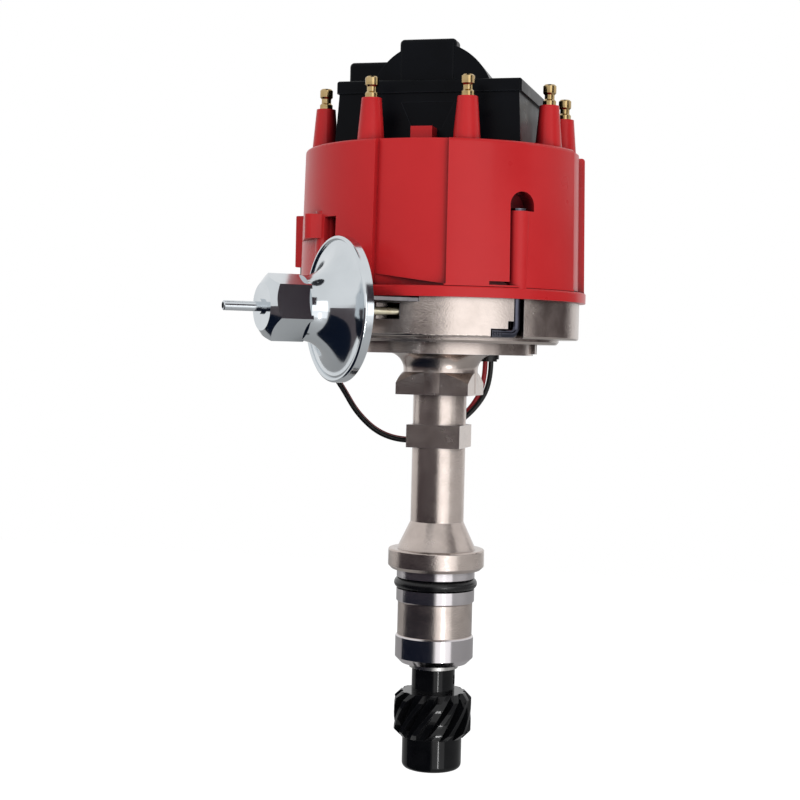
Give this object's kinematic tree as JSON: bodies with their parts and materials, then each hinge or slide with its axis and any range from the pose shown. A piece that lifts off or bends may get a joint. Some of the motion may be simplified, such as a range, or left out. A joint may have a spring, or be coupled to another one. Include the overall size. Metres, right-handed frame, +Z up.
{
  "type": "ignition distributor",
  "caption": "Ignition distributor with red coil-in-cap, spring-loaded latches, vacuum advance canister, centrifugal advance and a helical drive gear on a long cast housing.",
  "frame": {"origin": "on the shaft axis, in the plane of the seat that rests on the engine block", "axes": "+Z up along the shaft toward the cap, -Y toward the cap's front bay, +X to the right of it"},
  "size_m": [0.1497, 0.1946, 0.3577],
  "materials": {
    "cast_aluminium": "satin",
    "bronze": "satin",
    "black_rubber": "satin",
    "steel": "satin",
    "dark_iron": "satin",
    "spring_steel": "satin",
    "zinc_plate": "gloss",
    "yellow_zinc": "satin",
    "red_plastic": "gloss",
    "black_plastic": "satin",
    "black_gloss_plastic": "gloss",
    "tower_brass": "gloss",
    "contact_aluminium": "satin",
    "carbon": "matte",
    "black_finish": "satin",
    "laminations": "satin",
    "black_insulation": "satin",
    "red_insulation": "satin",
    "magnet": "matte"
  },
  "bodies": {
    "distributor": {"housing": "cast_aluminium", "lower_bushing": "bronze", "upper_bushing": "bronze", "o_ring": "black_rubber", "pickup_retainer": "spring_steel", "ignition_module": "black_plastic", "module_screws": "steel", "capacitor": "contact_aluminium", "vacuum_front_shell": "zinc_plate", "vacuum_rear_shell": "zinc_plate", "vacuum_diaphragm": "black_rubber", "vacuum_spring": "spring_steel", "vacuum_nipple": "zinc_plate", "vacuum_bracket": "zinc_plate", "bracket_screws": "steel", "cap": "red_plastic", "tower_terminals": "tower_brass", "spark_contacts": "contact_aluminium", "carbon_button": "carbon", "button_spring": "spring_steel", "ignition_coil": "black_gloss_plastic", "coil_core": "laminations", "coil_screws": "steel", "coil_cover": "black_gloss_plastic", "connector_blades": "steel", "harness_plug": "black_plastic", "harness_grommet": "black_rubber", "harness_black_wire": "black_insulation", "harness_red_wire": "red_insulation", "latch_spring_front_right": "spring_steel", "latch_spring_front_left": "spring_steel", "latch_spring_rear_right": "spring_steel", "latch_spring_rear_left": "spring_steel"},
    "shaft": {"main_shaft": "steel", "drive_gear": "dark_iron", "gear_roll_pin": "spring_steel", "thrust_washers": "steel", "centre_cam": "steel"},
    "advance": {"weight_base": "steel", "timer_core": "steel", "rotor": "black_plastic", "rotor_contact": "tower_brass", "rotor_screws": "steel", "weight_springs": "spring_steel"},
    "weight_right": {"weight_right": "steel"},
    "weight_left": {"weight_left": "steel"},
    "vacuum_link": {"vacuum_rod": "yellow_zinc"},
    "pickup": {"pickup_plate": "yellow_zinc", "pickup_magnet": "magnet", "pickup_coil": "black_plastic", "pole_piece": "steel", "pole_screws": "steel"},
    "latch_seat_front_right": {"latch_washer_front_right": "steel"},
    "latch_front_right": {"latch_rod_front_right": "black_finish"},
    "latch_seat_front_left": {"latch_washer_front_left": "steel"},
    "latch_front_left": {"latch_rod_front_left": "black_finish"},
    "latch_seat_rear_right": {"latch_washer_rear_right": "steel"},
    "latch_rear_right": {"latch_rod_rear_right": "black_finish"},
    "latch_seat_rear_left": {"latch_washer_rear_left": "steel"},
    "latch_rear_left": {"latch_rod_rear_left": "black_finish"}
  },
  "joints": [
    {"name": "shaft_spin", "type": "hinge", "parent": "distributor", "child": "shaft", "pos_m": [0, 0, 0], "axis": [0, 0, 1], "continuous": true},
    {"name": "advance_turn", "type": "hinge", "parent": "shaft", "child": "advance", "pos_m": [0, 0, 0], "axis": [0, 0, 1], "range_deg": [0, 12], "stiffness_Nm_per_rad": 0.6, "deforming": ["weight_springs"]},
    {"name": "weight_right_swing", "type": "hinge", "parent": "advance", "child": "weight_right", "pos_m": [0.025, 0, 0], "axis": [0, 0, -1], "range_deg": [0, 14]},
    {"name": "weight_left_swing", "type": "hinge", "parent": "advance", "child": "weight_left", "pos_m": [-0.025, 0, 0], "axis": [0, 0, -1], "range_deg": [0, 14]},
    {"name": "vacuum_pull", "type": "slide", "parent": "distributor", "child": "vacuum_link", "axis": [-0.7501, -0.6613, 0], "range_m": [0, 0.007], "stiffness_N_per_m": 700, "springref_m": -0.004, "deforming": ["vacuum_spring"]},
    {"name": "pickup_turn", "type": "hinge", "parent": "distributor", "child": "pickup", "pos_m": [0, 0, 0], "axis": [0, 0, -1], "range_deg": [0, 8.8]},
    {"name": "latch_push_front_right", "type": "slide", "parent": "distributor", "child": "latch_seat_front_right", "axis": [0, 0, -1], "range_m": [0, 0.002], "stiffness_N_per_m": 900, "springref_m": -0.004, "deforming": ["latch_spring_front_right"]},
    {"name": "latch_turn_front_right", "type": "hinge", "parent": "latch_seat_front_right", "child": "latch_front_right", "pos_m": [0.04596, -0.04596, 0], "axis": [0, 0, 1], "range_deg": [0, 90]},
    {"name": "latch_push_front_left", "type": "slide", "parent": "distributor", "child": "latch_seat_front_left", "axis": [0, 0, -1], "range_m": [0, 0.002], "stiffness_N_per_m": 900, "springref_m": -0.004, "deforming": ["latch_spring_front_left"]},
    {"name": "latch_turn_front_left", "type": "hinge", "parent": "latch_seat_front_left", "child": "latch_front_left", "pos_m": [-0.04596, -0.04596, 0], "axis": [0, 0, -1], "range_deg": [0, 90]},
    {"name": "latch_push_rear_right", "type": "slide", "parent": "distributor", "child": "latch_seat_rear_right", "axis": [0, 0, -1], "range_m": [0, 0.002], "stiffness_N_per_m": 900, "springref_m": -0.004, "deforming": ["latch_spring_rear_right"]},
    {"name": "latch_turn_rear_right", "type": "hinge", "parent": "latch_seat_rear_right", "child": "latch_rear_right", "pos_m": [0.04596, 0.04596, 0], "axis": [0, 0, -1], "range_deg": [0, 90]},
    {"name": "latch_push_rear_left", "type": "slide", "parent": "distributor", "child": "latch_seat_rear_left", "axis": [0, 0, -1], "range_m": [0, 0.002], "stiffness_N_per_m": 900, "springref_m": -0.004, "deforming": ["latch_spring_rear_left"]},
    {"name": "latch_turn_rear_left", "type": "hinge", "parent": "latch_seat_rear_left", "child": "latch_rear_left", "pos_m": [-0.04596, 0.04596, 0], "axis": [0, 0, 1], "range_deg": [0, 90]}
  ],
  "couplings": [
    {"joint": "weight_right_swing", "follows": "advance_turn", "ratio": 1.1666},
    {"joint": "weight_left_swing", "follows": "advance_turn", "ratio": 1.1666},
    {"joint": "pickup_turn", "follows": "vacuum_pull", "rad_per_m": 21.739}
  ]
}
